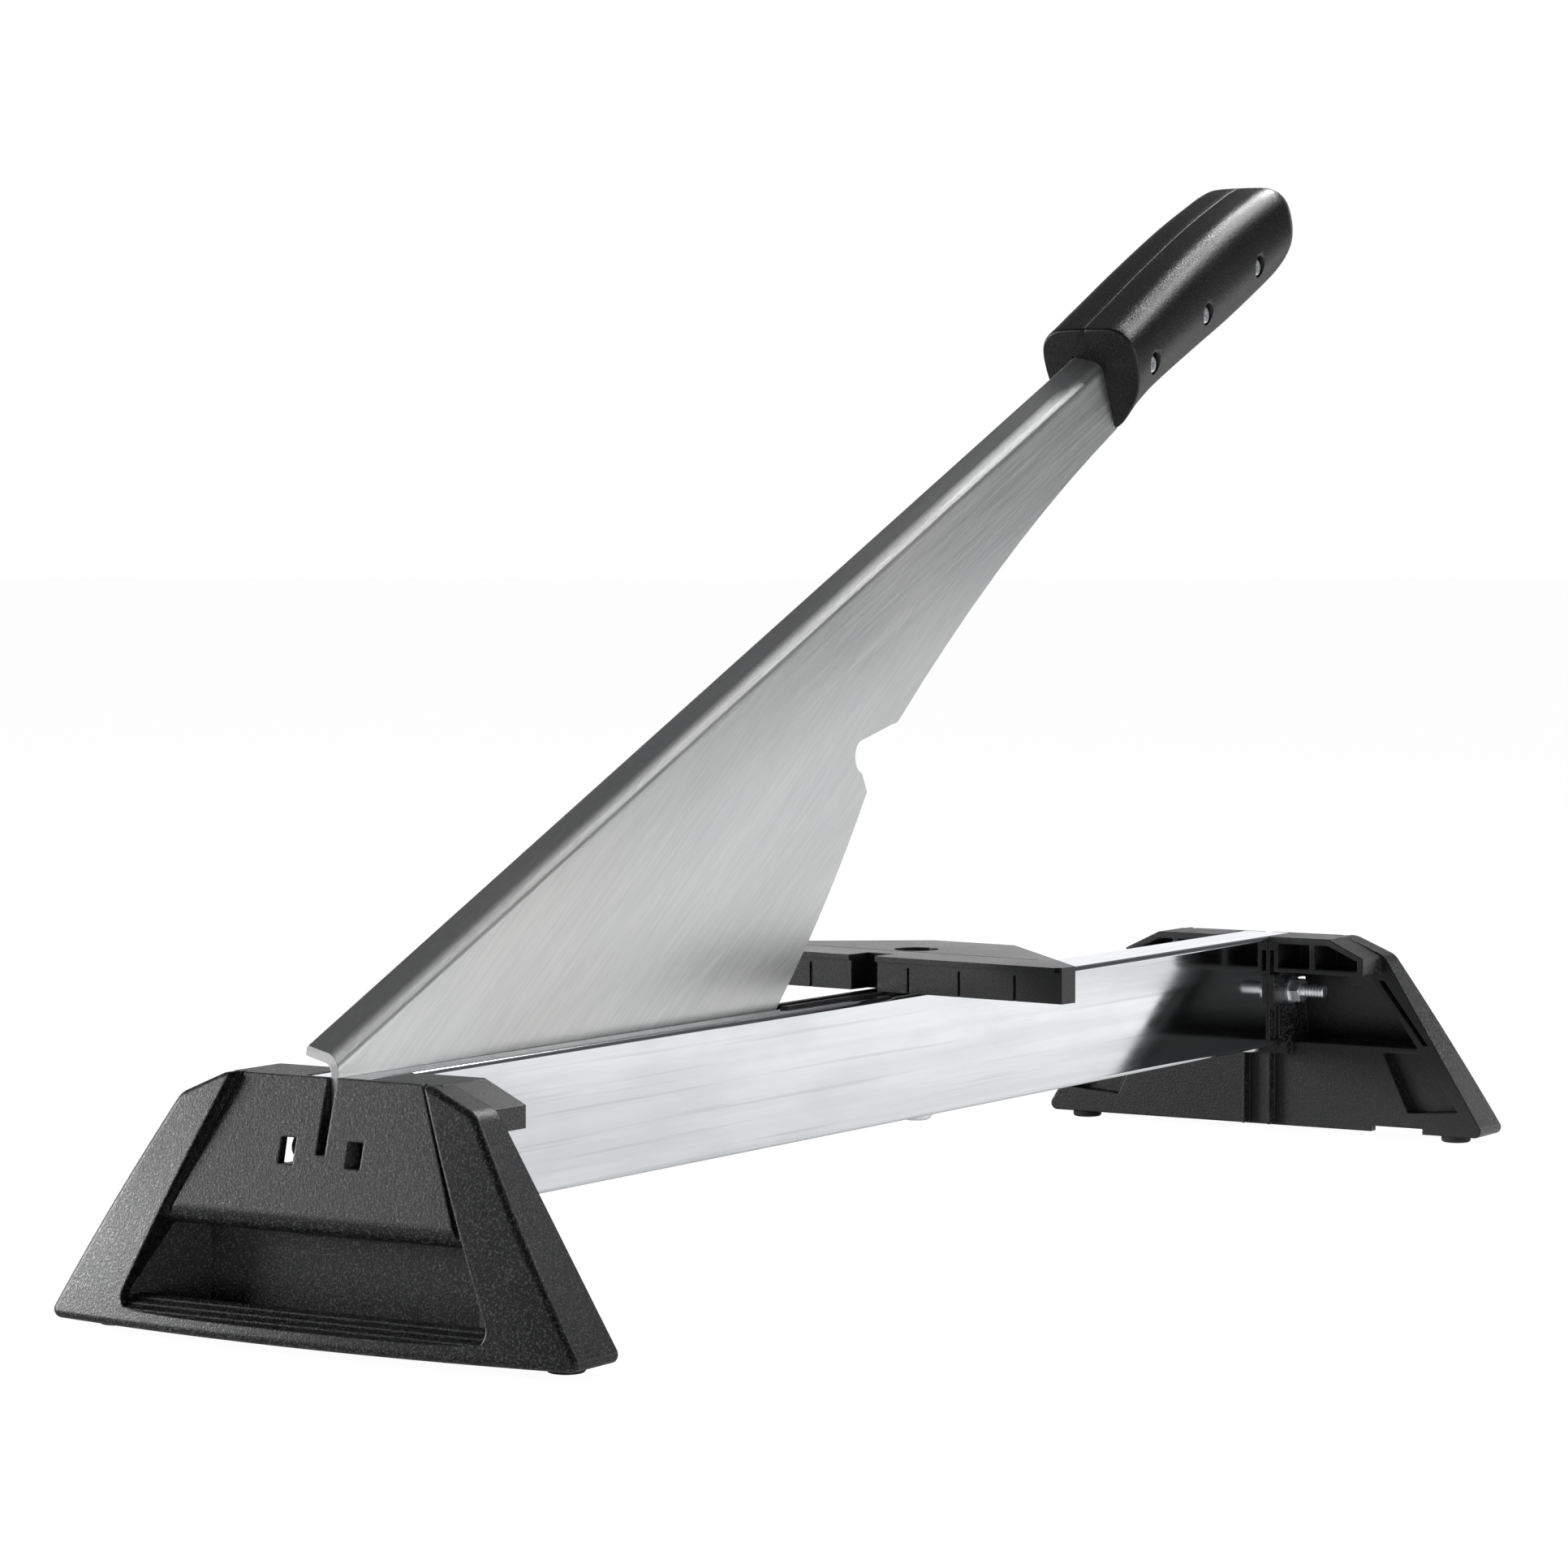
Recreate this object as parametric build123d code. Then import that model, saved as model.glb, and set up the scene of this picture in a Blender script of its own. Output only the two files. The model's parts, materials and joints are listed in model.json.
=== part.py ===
from build123d import *
import math
import os

# Guillotine cutter for floor tiles and planks. Millimetres, +Z up.
# Origin: on the floor, under the middle of the rail. The rail runs along X,
# with the blade's pivot at the -X end, and the blade plane is Y = 0.
# Stored with the blade raised and the fence a little off square.

# ---- driving dimensions -------------------------------------------------

# rail: a rectangular steel tube on edge
RAIL_LENGTH = 700.0
RAIL_WIDTH = 25.0
RAIL_HEIGHT = 50.0
RAIL_WALL = 2.0
RAIL_CORNER = 2.0
RAIL_TOP = 90.0
NEAR_END = -RAIL_LENGTH / 2
FAR_END = RAIL_LENGTH / 2
RAIL_BOTTOM = RAIL_TOP - RAIL_HEIGHT
RAIL_MIDDLE = RAIL_TOP - RAIL_HEIGHT / 2
SLOT_WIDTH = 4.8
TOP_SLOT_END = NEAR_END + 372.0
BOTTOM_SLOT = (NEAR_END + 80.0, NEAR_END + 302.0)
BOTTOM_SLOT_WIDTH = 6.0

# M6 fasteners
M6_RADIUS = 3.0
M6_CLEARANCE = 3.2
M6_ACROSS_FLATS = 10.0
M6_NUT = 5.0
M6_HEAD = 4.0
WASHER_RADIUS = 6.25
WASHER = 1.6
CROSS_BOLT_INSET = 8.0
THREAD_DEPTH = 0.35
THREAD_PITCH = 1.5

# foot, measured outwards from the rail's end
FOOT_BOTTOM = 3.0
FOOT_HALF_BASE = 110.5
FOOT_BACK = -6.0
CAP_BACK = -24.7
CAP_HALF_TOP = 42.6
CAP_HALF_SIDE = 59.2
CAP_SHOULDER = 82.0
CAP_UNDERSIDE = 74.3
SHOULDER_HALF = 61.0
FOOT_BULGE = ((FOOT_BOTTOM, 27.5, 17.6), (50.0, 17.6, 9.4), (RAIL_TOP, 6.8, 0.6))
PANEL_TOP = 2.35
PANEL_SLOPE = 0.28
PANEL_LIP = 6.0
SILL = 8.8
SILL_RIDGE = 14.0
SHELF_UNDERSIDE = 38.4
SHELF_TOP = 41.4
SOCKET_WALL = 3.0
SOCKET_CLEARANCE = 0.1
SLIT_WIDTH = 3.7
PAD_RADIUS = 6.5
PAD_OUT = 1.5
PAD_SPACING = 186.0
STOP_SCREW_INSET = 18.0

# blade arm: a plate with its back edge bent over, laid out along that edge
ARM_ANGLE = 24.6
ARM_START = (NEAR_END - 1.6, 98.2)
BLADE = 3.2
BEND_OUTER = 6.0
FLANGE_TILT = 13.0
FLANGE_REACH = 11.4
ARM_REAR = NEAR_END - 1.2
TANG_END = 745.0
PIVOT = (NEAR_END + 8.0, 65.0)
BUSH_RADIUS = 5.0
BUSH_BORE = 3.05
SPACER_GAP = 0.3

# handle, laid out along the arm
MOUTH = 590.0
HANDLE_END = 768.0
HANDLE_TOP = 14.3
HANDLE_BOTTOM = -32.3
HANDLE_HALF = 21.8
SEAM = 3.9
SCREW_STATIONS = (607.3, 661.8, 716.8)
SCREW_LEVEL = -9.2
HANDLE_WALL = 3.2

# fence, laid out from its swivel bolt
FENCE_PIVOT = NEAR_END + 382.8
FENCE_ANGLE = -6.2
FENCE_BASE = 91.0
FENCE_TOP = 105.0
FENCE_FRONT = -36.2
FENCE_HALF = 94.3
FENCE_END = 10.9
FENCE_REAR = 39.3
FENCE_REAR_HALF = 20.25
FENCE_GAP = 12.8
FENCE_GAP_DEPTH = 12.8
FENCE_LIP = 1.75
FENCE_MARKS = (-72.3, -45.9, -21.4, 26.5, 50.5, 74.5)
FENCE_WALL = 3.0
FENCE_BORE = 9.0
FENCE_BORE_FLOOR = 96.0


# ---- small helpers ------------------------------------------------------

def prism_yz(points, low, high):
    """A solid with its outline in YZ, from X = low to X = high."""
    face = make_face(Polyline(*points, close=True))
    return extrude(Plane.YZ.offset(low) * face, high - low)


def prism_xz(points, low, high):
    """A solid with its outline in XZ, from Y = low to Y = high."""
    face = make_face(Polyline(*points, close=True))
    return extrude(Plane.XZ.offset(-high) * face, high - low)


def prism_xy(points, low, high):
    """A solid with its outline in XY, from Z = low to Z = high."""
    face = make_face(Polyline(*points, close=True))
    return extrude(Plane.XY.offset(low) * face, high - low)


def block(x, y, z):
    """A box from its three (low, high) spans."""
    size = (x[1] - x[0], y[1] - y[0], z[1] - z[0])
    middle = (sum(x) / 2, sum(y) / 2, sum(z) / 2)
    return Pos(*middle) * Box(*size)


def rod_y(x, z, radius, low, high):
    """A round bar along Y."""
    return Pos(x, (low + high) / 2, z) * Rot(90, 0, 0) * Cylinder(radius, high - low)


def rod_z(x, y, radius, low, high):
    """A round bar along Z."""
    return Pos(x, y, (low + high) / 2) * Cylinder(radius, high - low)


def hexagon(across_flats, thickness):
    """A hexagonal prism along Z, standing on Z = 0, with its corners turned down."""
    corner = across_flats / math.sqrt(3)
    prism = extrude(RegularPolygon(corner, 6), thickness)
    dome = Pos(0, 0, thickness / 2) * Cylinder(corner - 0.02, thickness)
    return prism & chamfer(dome.edges().filter_by(GeomType.CIRCLE), 0.5)


def mirrored(points):
    """Points on the +Y side, then the same ones on the -Y side, as a loop."""
    return list(points) + [(-y, z) for y, z in reversed(points)]


def threaded_rod(length, threaded):
    """An M6 shank along Z from 0, grooved all round over its last stretch."""
    rod = Pos(0, 0, length / 2) * Cylinder(M6_RADIUS, length)
    rod = chamfer(rod.edges().filter_by(GeomType.CIRCLE).sort_by(Axis.Z)[-1], 0.6)
    groove = make_face(Polyline((M6_RADIUS + 0.1, -0.45), (M6_RADIUS + 0.1, 0.45),
                                (M6_RADIUS - THREAD_DEPTH, 0.0), close=True))
    ring = revolve(Plane.XZ * groove, Axis.Z)
    turns = int((threaded - 2.0) / THREAD_PITCH)
    for turn in range(turns):
        rod -= Pos(0, 0, length - 1.6 - turn * THREAD_PITCH) * ring
    return rod


# ---- rail ---------------------------------------------------------------

def rail_tube():
    outer = Pos(0, 0, RAIL_MIDDLE) * Box(RAIL_LENGTH, RAIL_WIDTH, RAIL_HEIGHT)
    outer = fillet(outer.edges().filter_by(Axis.X), RAIL_CORNER)
    inside = (RAIL_WIDTH - 2 * RAIL_WALL, RAIL_HEIGHT - 2 * RAIL_WALL)
    bore = Pos(0, 0, RAIL_MIDDLE) * Box(RAIL_LENGTH, *inside)
    bore = fillet(bore.edges().filter_by(Axis.X), 0.8)
    tube = outer - bore
    half_slot = SLOT_WIDTH / 2
    tube -= block((NEAR_END - 1, TOP_SLOT_END), (-half_slot, half_slot), (RAIL_TOP - 4, RAIL_TOP + 1))
    half_slot = BOTTOM_SLOT_WIDTH / 2
    tube -= block(BOTTOM_SLOT, (-half_slot, half_slot), (RAIL_BOTTOM - 1, RAIL_BOTTOM + 4))
    for side in (-1, 1):
        bolt_x = side * (FAR_END - CROSS_BOLT_INSET)
        tube -= rod_y(bolt_x, RAIL_MIDDLE, M6_CLEARANCE, -RAIL_WIDTH, RAIL_WIDTH)
        screw_x = side * (FAR_END - STOP_SCREW_INSET)
        tube -= rod_z(screw_x, 0, 2.0, RAIL_BOTTOM - 1, RAIL_BOTTOM + 4)
    tube -= rod_z(FENCE_PIVOT, 0, M6_CLEARANCE, RAIL_BOTTOM - 1, RAIL_TOP + 1)
    return tube


# ---- feet ---------------------------------------------------------------

def foot_envelope():
    """The foot's leaning, bowed front, as a lofted block to trim with."""
    half = 115.0
    back = -30.0

    def plan(level, middle, ends):
        outline = Polyline((ends, -half), (back, -half), (back, half), (ends, half))
        front = ThreePointArc((ends, half), (middle, 0), (ends, -half))
        return Plane.XY.offset(level) * make_face(Wire([*outline.edges(), front]))

    return loft([plan(*row) for row in FOOT_BULGE])


def leg_inner(level):
    """Half-width between the legs' inner front edges at a height."""
    return 41.0 + (88.0 - level) * 0.4675


def edges_along_x(shape, level):
    """The edges along X at a height."""
    return [edge for edge in shape.edges().filter_by(Axis.X) if abs(edge.center().Z - level) < 1]


def foot_shell():
    """The outer frame: two splayed legs, a bowed sill and the cap."""
    outline = mirrored([(FOOT_HALF_BASE, FOOT_BOTTOM), (SHOULDER_HALF, CAP_SHOULDER),
                        (CAP_HALF_TOP, RAIL_TOP)])
    slab = prism_yz(outline, FOOT_BACK, 40.0)
    slab = fillet(edges_along_x(slab, FOOT_BOTTOM), 3.0)
    slab = fillet(edges_along_x(slab, CAP_SHOULDER), 8.0)
    slab = fillet(edges_along_x(slab, RAIL_TOP), 10.0)
    frame = slab & foot_envelope()
    front = frame.faces().sort_by(Axis.X)[-1]
    rim = [edge for edge in front.edges() if edge.center().Z > FOOT_BOTTOM + 0.5]
    frame = fillet(rim, 2.5)
    cap_outline = mirrored([(CAP_HALF_SIDE, CAP_UNDERSIDE), (CAP_HALF_SIDE, CAP_SHOULDER),
                            (CAP_HALF_TOP, RAIL_TOP)])
    return frame + prism_yz(cap_outline, CAP_BACK, 0.0)


def panel_front(level):
    """How far out the leaning panel stands at a height."""
    return PANEL_TOP + PANEL_SLOPE * (RAIL_TOP - level)


def panel_recess():
    """Space in front of the leaning panel."""
    low, high = SHELF_UNDERSIDE, RAIL_TOP + 2
    side = [(panel_front(low), low), (panel_front(high), high), (50.0, high), (50.0, low)]
    front = mirrored([(leg_inner(low - 5), low - 5), (leg_inner(high + 5), high + 5)])
    return prism_xz(side, -80, 80) & prism_yz(front, -5, 60)


def panel_grooves():
    """Stepped channels between the panel's edges and the legs."""
    low, high = SHELF_UNDERSIDE, RAIL_TOP + 2
    cuts = []
    for sign in (-1, 1):
        for outer, depth in ((0.0, 0.8), (1.7, 1.7)):
            strip = [(leg_inner(low) - outer, low), (leg_inner(high) - outer, high),
                     (leg_inner(high) - 3.4, high), (leg_inner(low) - 3.4, low)]
            side = [(panel_front(low) - depth, low), (45.0, low), (45.0, high),
                    (panel_front(high) - depth, high)]
            strip = [(sign * y, z) for y, z in strip]
            cuts.append(prism_yz(strip, -5, 45) & prism_xz(side, -80, 80))
    return cuts


def lip_edges(body):
    """The panel's lower front edge, where it is rolled under."""
    front = panel_front(SHELF_UNDERSIDE)
    level = [edge for edge in body.edges().filter_by(Axis.Y) if abs(edge.center().Z - SHELF_UNDERSIDE) < 0.1]
    return [edge for edge in level if abs(edge.center().X - front) < 0.2]


def grip_pocket():
    """The hand hold below the panel, narrowing towards its back wall, over a ridged sill."""
    front = prism_yz(mirrored([(leg_inner(SILL), SILL), (leg_inner(SHELF_UNDERSIDE), SHELF_UNDERSIDE)]),
                     -3.0, 45.0)
    front = fillet(edges_along_x(front, SILL), 5.0)
    plan = [(-3.0, -56.0), (45.0, -101.8), (45.0, 101.8), (-3.0, 56.0)]
    side = [(-3.0, 9.2), (12.4, 9.2), (13.8, SILL_RIDGE), (16.6, 13.1), (16.6, 12.6), (19.6, 11.5),
            (19.6, 11.0), (22.6, 9.9), (22.6, 9.4), (24.6, SILL), (45.0, SILL),
            (45.0, SHELF_UNDERSIDE), (-3.0, SHELF_UNDERSIDE)]
    return front & prism_xy(plan, 0, 60) & prism_xz(side, -110, 110)


def inner_cavities():
    """Hollows seen from inside: behind the panel, in the legs, cap and sill."""
    lean = 11.3
    side = [(-30.0, SHELF_TOP), (lean, SHELF_TOP), (0.0, RAIL_TOP + 1), (-30.0, RAIL_TOP + 1)]
    half_socket = RAIL_WIDTH / 2 + SOCKET_WALL
    cuts = []
    for sign in (-1, 1):
        upper = [(half_socket, SHELF_TOP), (77.5, SHELF_TOP), (55.0, 72.0), (half_socket, 72.0)]
        upper = [(sign * y, z) for y, z in upper]
        cuts.append(prism_yz(upper, FOOT_BACK - 1, 20) & prism_xz(side, -80, 80))
        groove = [(58.2, 71.0), (60.8, 71.0), (82.3, 43.0), (80.0, 43.0)]
        cuts.append(prism_yz([(sign * y, z) for y, z in groove], FOOT_BACK - 1, 0))
        recess = [(60.5, 38.8), (79.0, 38.8), (97.0, 14.0), (73.0, 12.2)]
        cuts.append(prism_yz([(sign * y, z) for y, z in recess], FOOT_BACK - 1, 0))
        inner = [(17.5, 76.3), (33.0, 76.3), (33.0, 87.0), (17.5, 87.0)]
        cuts.append(prism_yz([(sign * y, z) for y, z in inner], CAP_BACK - 1, -2))
        outer = [(35.5, 76.3), (56.4, 76.3), (56.4, 80.6), (42.0, 87.0), (35.5, 87.0)]
        cuts.append(prism_yz([(sign * y, z) for y, z in outer], CAP_BACK - 1, -2))
        window = [(10.8, 61.4), (16.9, 61.4), (16.9, 70.0), (10.8, 70.0)]
        cuts.append(prism_yz([(sign * y, z) for y, z in window], 0.0, 20))
    cuts.append(prism_yz(mirrored([(100.0, 2.0), (98.0, 5.0)]), -1.0, 13.0))
    cuts.append(block((FOOT_BACK - 1, 0), (-80, -55), (2.0, 5.7)))
    return cuts


def foot():
    """One moulding, placed for the far end, with the rail's end at local X = 0."""
    half = RAIL_WIDTH / 2
    body = foot_shell() - panel_recess() - grip_pocket()
    for groove in panel_grooves():
        body -= groove
    body = fillet(lip_edges(body), PANEL_LIP)
    for cut in inner_cavities():
        body -= cut
    walls = block((CAP_BACK, 0.5), (-half - SOCKET_WALL, half + SOCKET_WALL), (SHELF_TOP, RAIL_TOP))
    shelf = block((-12.0, 0.5), (-half - SOCKET_WALL, half + SOCKET_WALL), (36.4, SHELF_TOP))
    body += walls
    body += shelf
    for sign in (-1, 1):
        rib = block((-11.0, FOOT_BACK), (6.3 * sign - 0.6, 6.3 * sign + 0.6), (FOOT_BOTTOM + 0.5, 36.4))
        body += rib
        for low, high in ((43.5, 59.0), (73.0, 84.0)):
            near, far = sorted((sign * (half + 0.8), sign * (half + SOCKET_WALL)))
            body -= block((CAP_BACK - 1, CAP_BACK + 6), (near, far), (low, high))
    fit = half + SOCKET_CLEARANCE
    body -= block((CAP_BACK - 1, 0.0), (-fit, fit), (RAIL_BOTTOM, RAIL_TOP + 1))
    body -= rod_y(-CROSS_BOLT_INSET, RAIL_MIDDLE, M6_CLEARANCE, -20, 20)
    body -= block((-0.5, 30), (-SLIT_WIDTH / 2, SLIT_WIDTH / 2), (RAIL_MIDDLE, RAIL_TOP + 1))
    return body


def foot_pads():
    """Two round rubber feet under one end, local like the foot."""
    pads = []
    for sign in (-1, 1):
        pad = Pos(PAD_OUT, sign * PAD_SPACING / 2, FOOT_BOTTOM / 2) * Cylinder(PAD_RADIUS, FOOT_BOTTOM)
        pads.append(fillet(pad.edges().filter_by(GeomType.CIRCLE).sort_by(Axis.Z)[0], 1.2))
    return pads


def at_far_end(shape):
    return Pos(FAR_END, 0, 0) * shape


def at_near_end(shape):
    return Rot(0, 0, 180) * Pos(FAR_END, 0, 0) * shape


# ---- cross bolts --------------------------------------------------------

def cross_bolt():
    """M6 x 50 hexagon bolt along Y, head on +Y, local X and Z at the bolt."""
    seat = RAIL_WIDTH / 2 + SOCKET_WALL + WASHER
    length = 50.0
    shank = Rot(90, 0, 0) * threaded_rod(length, 20.0)
    head = Rot(-90, 0, 0) * hexagon(M6_ACROSS_FLATS, M6_HEAD)
    return Pos(0, seat, 0) * (shank + head)


def cross_washers():
    """The pair under head and nut."""
    seat = RAIL_WIDTH / 2 + SOCKET_WALL
    rings = []
    for low in (seat, -seat - WASHER):
        ring = rod_y(0, 0, WASHER_RADIUS, low, low + WASHER)
        rings.append(ring - rod_y(0, 0, M6_CLEARANCE, low - 1, low + WASHER + 1))
    return rings


def cross_nut():
    seat = RAIL_WIDTH / 2 + SOCKET_WALL + WASHER
    nut = Rot(90, 0, 0) * hexagon(M6_ACROSS_FLATS, M6_NUT)
    nut = Pos(0, -seat, 0) * nut
    return nut - rod_y(0, 0, M6_RADIUS, -seat - 10, -seat + 1)


def stop_screws():
    """Pan-head screws in the rail's underside that keep each foot from sliding in."""
    screws = []
    for side in (-1, 1):
        x = side * (FAR_END - STOP_SCREW_INSET)
        head = rod_z(x, 0, 4.75, RAIL_BOTTOM - 3.2, RAIL_BOTTOM)
        head = fillet(head.edges().filter_by(GeomType.CIRCLE).sort_by(Axis.Z)[0], 1.6)
        cross = block((x - 2.4, x + 2.4), (-0.5, 0.5), (RAIL_BOTTOM - 4, RAIL_BOTTOM - 1.8))
        cross += block((x - 0.5, x + 0.5), (-2.4, 2.4), (RAIL_BOTTOM - 4, RAIL_BOTTOM - 1.8))
        screws.append(head - cross + rod_z(x, 0, 2.0, RAIL_BOTTOM, RAIL_BOTTOM + 6))
    return screws


# ---- blade arm ----------------------------------------------------------

def along_arm(shape):
    """Place a shape laid out with X along the arm's back edge."""
    return Pos(ARM_START[0], 0, ARM_START[1]) * Rot(0, -ARM_ANGLE, 0) * shape


def pivot_on_arm():
    turn = math.radians(ARM_ANGLE)
    dx = PIVOT[0] - ARM_START[0]
    dz = PIVOT[1] - ARM_START[1]
    return dx * math.cos(turn) + dz * math.sin(turn), dz * math.cos(turn) - dx * math.sin(turn)


def blade_web():
    """The flat plate: cutting edge, notch over the fence, tapering shank and tang."""
    top = -BEND_OUTER
    tip = ((205.4, -131.7), (222.0, -131.0), (231.0, -127.6))
    corner = (341.7, -77.8)
    neck = (375.2, -63.3)
    mouth = (591.0, -32.0)
    outline = [
        Polyline((-9.0, top), (-9.0, -18.5), (-7.1, -26.8), (-4.6, -41.9), tip[0]),
        ThreePointArc(*tip),
        ThreePointArc(tip[2], (298.8, -100.9), corner),
        Polyline(corner, (341.3, -69.5)),
        ThreePointArc((341.3, -69.5), (339.6, -61.0), (345.5, -57.4)),
        Polyline((345.5, -57.4), (370.7, -62.5)),
        ThreePointArc((370.7, -62.5), (373.1, -63.2), neck),
        ThreePointArc(neck, (489.0, -41.0), mouth),
        Polyline(mouth, (606.0, -23.0), (TANG_END, -22.0), (TANG_END, top), (-9.0, top)),
    ]
    edges = [edge for piece in outline for edge in piece.edges()]
    face = make_face(Wire(edges))
    return extrude(Plane.XZ.offset(-BLADE / 2) * face, BLADE)


def bent_back():
    """The rounded bend and the raised flange, running the arm's whole length."""
    inner = BEND_OUTER - BLADE
    centre = (BEND_OUTER - BLADE / 2, -BEND_OUTER)
    face_out = -BLADE / 2
    end_turn = math.radians(90.0 + FLANGE_TILT)
    mid_turn = math.radians(135.0 + FLANGE_TILT / 2)

    def on_arc(radius, turn):
        return centre[0] + radius * math.cos(turn), centre[1] + radius * math.sin(turn)

    run = (FLANGE_REACH - on_arc(BEND_OUTER, end_turn)[0]) / math.cos(math.radians(FLANGE_TILT))
    step = (run * math.cos(math.radians(FLANGE_TILT)), run * math.sin(math.radians(FLANGE_TILT)))
    outer_end = on_arc(BEND_OUTER, end_turn)
    inner_end = on_arc(inner, end_turn)
    tip_top = (outer_end[0] + step[0], outer_end[1] + step[1])
    tip_low = (inner_end[0] + step[0], inner_end[1] + step[1])
    outline = [
        ThreePointArc((face_out, -BEND_OUTER), on_arc(BEND_OUTER, mid_turn), outer_end),
        Polyline(outer_end, tip_top, tip_low, inner_end),
        ThreePointArc(inner_end, on_arc(inner, mid_turn), (-face_out, -BEND_OUTER)),
        Polyline((-face_out, -BEND_OUTER), (face_out, -BEND_OUTER)),
    ]
    edges = [edge for piece in outline for edge in piece.edges()]
    face = make_face(Wire(edges))
    strip = extrude(Plane.YZ.offset(-20) * face, TANG_END + 20)
    return fillet(strip.edges().filter_by(Axis.X).sort_by(Axis.Y)[-2:], 1.0)


def blade_arm():
    plate = blade_web() + bent_back()
    plate -= rod_y(*pivot_on_arm(), 8.0, BLADE / 2, 40)
    for station in SCREW_STATIONS:
        plate -= rod_y(station, SCREW_LEVEL, 2.6, -10, 10)
    plate = along_arm(plate)
    plate += rod_y(*PIVOT, 7.7, -BLADE / 2, BLADE / 2)
    plate -= rod_y(*PIVOT, BUSH_RADIUS, -10, 10)
    behind = block((ARM_REAR - 60, ARM_REAR), (-40, 40), (0, 200))
    return plate - behind


def pivot_bush():
    bush = rod_y(*PIVOT, BUSH_RADIUS, -BLADE / 2, BLADE / 2)
    return bush - rod_y(*PIVOT, BUSH_BORE, -10, 10)


def pivot_spacers():
    """Plain sleeves that keep the blade centred between the rail's walls."""
    sleeves = []
    inner = BLADE / 2 + SPACER_GAP
    outer = RAIL_WIDTH / 2 - RAIL_WALL
    for low, high in ((inner, outer), (-outer, -inner)):
        sleeve = rod_y(*PIVOT, 6.5, low, high)
        sleeves.append(sleeve - rod_y(*PIVOT, M6_CLEARANCE, low - 1, high + 1))
    return sleeves


# ---- handle -------------------------------------------------------------

def handle_section(shrink):
    """The grip's cross-section: flat crown, full sides, narrow rounded belly."""
    half = HANDLE_HALF - shrink
    top = 18.0 - shrink
    low = HANDLE_BOTTOM + shrink
    right = [(-half, 2.0), (-half + 0.4, -5.0), (-half + 7.0, -20.0), (-half + 14.5, low + 3.4)]
    left = [(-y, z) for y, z in right]
    crown = half - 9.0
    edges = [
        Line((-crown, top), (crown, top)),
        ThreePointArc((crown, top), (half - 2.7, top - 2.9), (half, top - 10.0)),
        Line((half, top - 10.0), left[0]),
        Spline(left[0], left[1], left[2], left[3], (0, low), right[3], right[2], right[1], right[0],
               tangents=((0, -1), (0, 1))),
        Line(right[0], (-half, top - 10.0)),
        ThreePointArc((-half, top - 10.0), (-half + 2.7, top - 2.9), (-crown, top)),
    ]
    return Pos(SEAM, 0, 0) * make_face(Wire(edges))


def handle_body():
    """Both shells as one: the section trimmed by side and plan outlines."""
    grip = extrude(Plane.YZ.offset(MOUTH) * handle_section(0.0), HANDLE_END - MOUTH)
    side = [
        ThreePointArc((MOUTH, HANDLE_TOP), (665.0, 17.6), (744.0, 17.0)),
        ThreePointArc((744.0, 17.0), (761.5, 9.0), (767.8, -6.0)),
        ThreePointArc((767.8, -6.0), (764.5, -22.0), (750.0, HANDLE_BOTTOM + 2.0)),
        ThreePointArc((750.0, HANDLE_BOTTOM + 2.0), (670.0, HANDLE_BOTTOM + 1.6), (MOUTH, HANDLE_BOTTOM)),
        Line((MOUTH, HANDLE_BOTTOM), (MOUTH, HANDLE_TOP)),
    ]
    profile = extrude(Plane.XZ.offset(-60) * make_face(Wire(side)), 120)
    half = HANDLE_HALF
    plan = [
        ThreePointArc((MOUTH, SEAM + half - 0.6), (680.0, SEAM + half), (746.0, SEAM + half - 1.0)),
        ThreePointArc((746.0, SEAM + half - 1.0), (762.0, SEAM + half - 9.0), (HANDLE_END, SEAM)),
        ThreePointArc((HANDLE_END, SEAM), (762.0, SEAM - half + 9.0), (746.0, SEAM - half + 1.0)),
        ThreePointArc((746.0, SEAM - half + 1.0), (680.0, SEAM - half), (MOUTH, SEAM - half + 0.6)),
        Line((MOUTH, SEAM - half + 0.6), (MOUTH, SEAM + half - 0.6)),
    ]
    cover = extrude(Plane.XY.offset(-60) * make_face(Wire(plan)), 120)
    return grip & profile & cover


def handle_inside():
    """The hollow between the shells, less its ribs and screw bosses."""
    hollow = extrude(Plane.YZ.offset(MOUTH + 4.0) * handle_section(HANDLE_WALL + 1.6), 152.0)
    for station in (631.0, 686.0, 738.0):
        hollow -= block((station - 1.4, station + 1.4), (-40, 40), (-60, 40))
    for station in SCREW_STATIONS:
        hollow -= rod_y(station, SCREW_LEVEL, 5.2, -40, 40)
    return hollow


def tang_pocket():
    """Room for the arm inside the handle."""
    gap = 0.15
    web = block((MOUTH - 5, TANG_END + 0.5), (-BLADE / 2 - gap, BLADE / 2 + gap), (-23.2, 3.0))
    mouth = prism_xz([(MOUTH - 5, -37.0), (607.0, -23.1), (MOUTH - 5, -20.0)],
                     -BLADE / 2 - gap, BLADE / 2 + gap)
    flange = block((MOUTH - 5, TANG_END + 0.5), (-BLADE / 2 - gap, FLANGE_REACH + 0.8), (-6.6, 2.9))
    return web + mouth + flange


def handle_shells():
    """The right and left halves, split along the seam."""
    whole = handle_body() - handle_inside() - tang_pocket()
    for station in SCREW_STATIONS:
        whole -= rod_y(station, SCREW_LEVEL, 2.0, -30, 14)
        whole -= rod_y(station, SCREW_LEVEL, 4.9, -30, -13.5)
    right = whole & block((500, 800), (-60, SEAM), (-80, 80))
    left = whole & block((500, 800), (SEAM, 60), (-80, 80))
    for station in SCREW_STATIONS:
        boss_end = rod_y(station, SCREW_LEVEL, 5.3, 0, SEAM)
        left += right & boss_end
        right -= boss_end
    return along_arm(right), along_arm(left)


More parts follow.
